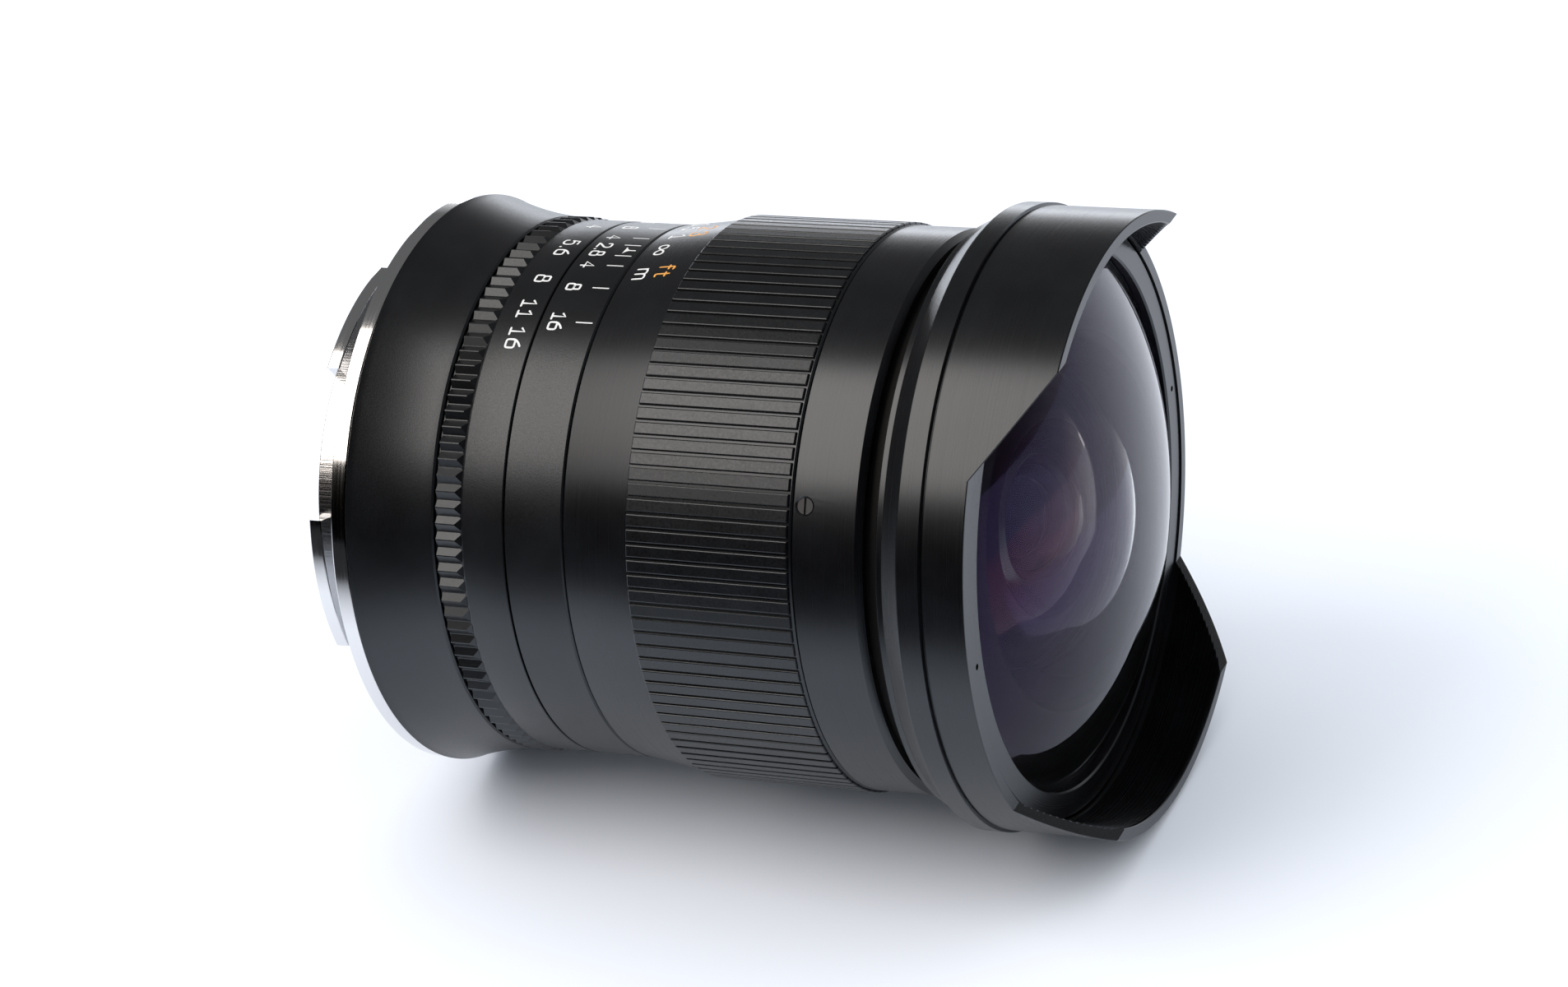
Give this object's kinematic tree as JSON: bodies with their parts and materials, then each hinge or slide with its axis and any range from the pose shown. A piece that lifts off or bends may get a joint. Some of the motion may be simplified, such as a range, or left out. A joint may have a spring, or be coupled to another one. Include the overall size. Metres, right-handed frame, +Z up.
{
  "type": "fisheye lens",
  "caption": "Manual fisheye lens with a chromed bayonet, turning aperture and focus rings, a domed front glass and a short petal hood.",
  "frame": {"origin": "on the optical axis in the plane of the mount flange's seat against the camera", "axes": "the lens points along -Y, +Y goes into the camera, +Z is up through the index line, +X is to the right as seen from the front of the lens"},
  "size_m": [0.0706, 0.0909, 0.0706],
  "materials": {
    "bayonet_chrome": "polished chrome on brass, fine turning marks",
    "black_anodised": "satin black anodised aluminium",
    "inner_black": "matt black anodised aluminium",
    "screw_black": "blackened steel",
    "steel": "ground steel",
    "brass": "turned brass",
    "baffle_black": "matt black paint",
    "blade_black": "thin blackened spring steel",
    "gasket_rubber": "black rubber",
    "front_glass": "coated optical glass, violet reflection",
    "inner_glass": "coated optical glass, red reflection"
  },
  "bodies": {
    "barrel": {"mount_flange": "bayonet_chrome", "mount_screws": "steel", "rear_baffle": "baffle_black", "baffle_screws": "screw_black", "rear_barrel": "black_anodised", "main_tube": "inner_black", "dof_scale_ring": "black_anodised", "dof_ring_screws": "steel", "focus_stop_pin": "steel", "front_barrel": "black_anodised", "front_barrel_screws": "screw_black", "click_ball": "steel", "click_spring": "steel"},
    "focus_ring": {"focus_ring": "black_anodised", "helicoid_ring": "brass", "focus_ring_screws": "steel"},
    "aperture_ring": {"aperture_ring": "black_anodised", "aperture_coupling_pin": "steel"},
    "optical_unit": {"lens_hood": "black_anodised", "hood_screws": "steel", "front_cell": "inner_black", "front_gasket": "gasket_rubber", "front_retaining_ring": "black_anodised", "second_retaining_ring": "inner_black", "third_retaining_ring": "inner_black", "sliding_sleeve": "inner_black", "cam_followers": "brass", "cell_screws": "steel", "middle_cell": "inner_black", "middle_cell_screws": "steel", "fourth_retaining_ring": "inner_black", "fifth_retaining_ring": "inner_black", "iris_base_plate": "inner_black", "iris_cover_plate": "inner_black", "iris_screws": "steel", "rear_cell": "inner_black", "rear_cell_screws": "steel", "sixth_retaining_ring": "inner_black", "rear_retaining_ring": "inner_black", "front_element": "front_glass", "lens_element_2": "inner_glass", "lens_element_3": "inner_glass", "lens_element_4": "inner_glass", "lens_element_5": "inner_glass", "lens_element_6": "inner_glass", "lens_element_7": "inner_glass", "lens_element_8": "inner_glass", "lens_element_9": "inner_glass", "lens_element_10": "inner_glass", "lens_element_11": "inner_glass"},
    "iris_drive_ring": {"iris_drive_ring": "inner_black"},
    "iris_blade_1": {"iris_blade_1": "blade_black"},
    "iris_blade_2": {"iris_blade_2": "blade_black"},
    "iris_blade_3": {"iris_blade_3": "blade_black"},
    "iris_blade_4": {"iris_blade_4": "blade_black"},
    "iris_blade_5": {"iris_blade_5": "blade_black"},
    "iris_blade_6": {"iris_blade_6": "blade_black"},
    "iris_blade_7": {"iris_blade_7": "blade_black"}
  },
  "joints": [
    {"name": "focus_turn", "type": "hinge", "parent": "barrel", "child": "focus_ring", "pos_m": [0, -0.042, 0], "axis": [0, -1, 0], "range_deg": [0, 79]},
    {"name": "optical_slide", "type": "slide", "parent": "barrel", "child": "optical_unit", "axis": [0, -1, 0], "range_m": [0, 0.00146]},
    {"name": "aperture_turn", "type": "hinge", "parent": "barrel", "child": "aperture_ring", "pos_m": [0, -0.016, 0], "axis": [0, -1, 0], "range_deg": [-29.2, 28]},
    {"name": "iris_drive_turn", "type": "hinge", "parent": "optical_unit", "child": "iris_drive_ring", "pos_m": [0, -0.0275, 0], "axis": [0, -1, 0], "range_deg": [-29.2, 28]},
    {"name": "iris_blade_1_turn", "type": "hinge", "parent": "optical_unit", "child": "iris_blade_1", "pos_m": [0, -0.0295, 0.014], "axis": [0, -1, 0], "range_deg": [-8.7, 8.2]},
    {"name": "iris_blade_2_turn", "type": "hinge", "parent": "optical_unit", "child": "iris_blade_2", "pos_m": [-0.01095, -0.0295, 0.00873], "axis": [0, -1, 0], "range_deg": [-8.7, 8.2]},
    {"name": "iris_blade_3_turn", "type": "hinge", "parent": "optical_unit", "child": "iris_blade_3", "pos_m": [-0.01365, -0.0295, -0.00312], "axis": [0, -1, 0], "range_deg": [-8.7, 8.2]},
    {"name": "iris_blade_4_turn", "type": "hinge", "parent": "optical_unit", "child": "iris_blade_4", "pos_m": [-0.00607, -0.0295, -0.01261], "axis": [0, -1, 0], "range_deg": [-8.7, 8.2]},
    {"name": "iris_blade_5_turn", "type": "hinge", "parent": "optical_unit", "child": "iris_blade_5", "pos_m": [0.00607, -0.0295, -0.01261], "axis": [0, -1, 0], "range_deg": [-8.7, 8.2]},
    {"name": "iris_blade_6_turn", "type": "hinge", "parent": "optical_unit", "child": "iris_blade_6", "pos_m": [0.01365, -0.0295, -0.00312], "axis": [0, -1, 0], "range_deg": [-8.7, 8.2]},
    {"name": "iris_blade_7_turn", "type": "hinge", "parent": "optical_unit", "child": "iris_blade_7", "pos_m": [0.01095, -0.0295, 0.00873], "axis": [0, -1, 0], "range_deg": [-8.7, 8.2]}
  ],
  "couplings": [
    {"joint": "focus_turn", "follows": "optical_slide", "rad_per_m": 946.97},
    {"joint": "iris_drive_turn", "follows": "aperture_turn", "ratio": 1},
    {"joint": "iris_blade_1_turn", "follows": "aperture_turn", "ratio": 0.28759},
    {"joint": "iris_blade_2_turn", "follows": "aperture_turn", "ratio": 0.28759},
    {"joint": "iris_blade_3_turn", "follows": "aperture_turn", "ratio": 0.28759},
    {"joint": "iris_blade_4_turn", "follows": "aperture_turn", "ratio": 0.28759},
    {"joint": "iris_blade_5_turn", "follows": "aperture_turn", "ratio": 0.28759},
    {"joint": "iris_blade_6_turn", "follows": "aperture_turn", "ratio": 0.28759},
    {"joint": "iris_blade_7_turn", "follows": "aperture_turn", "ratio": 0.28759}
  ]
}
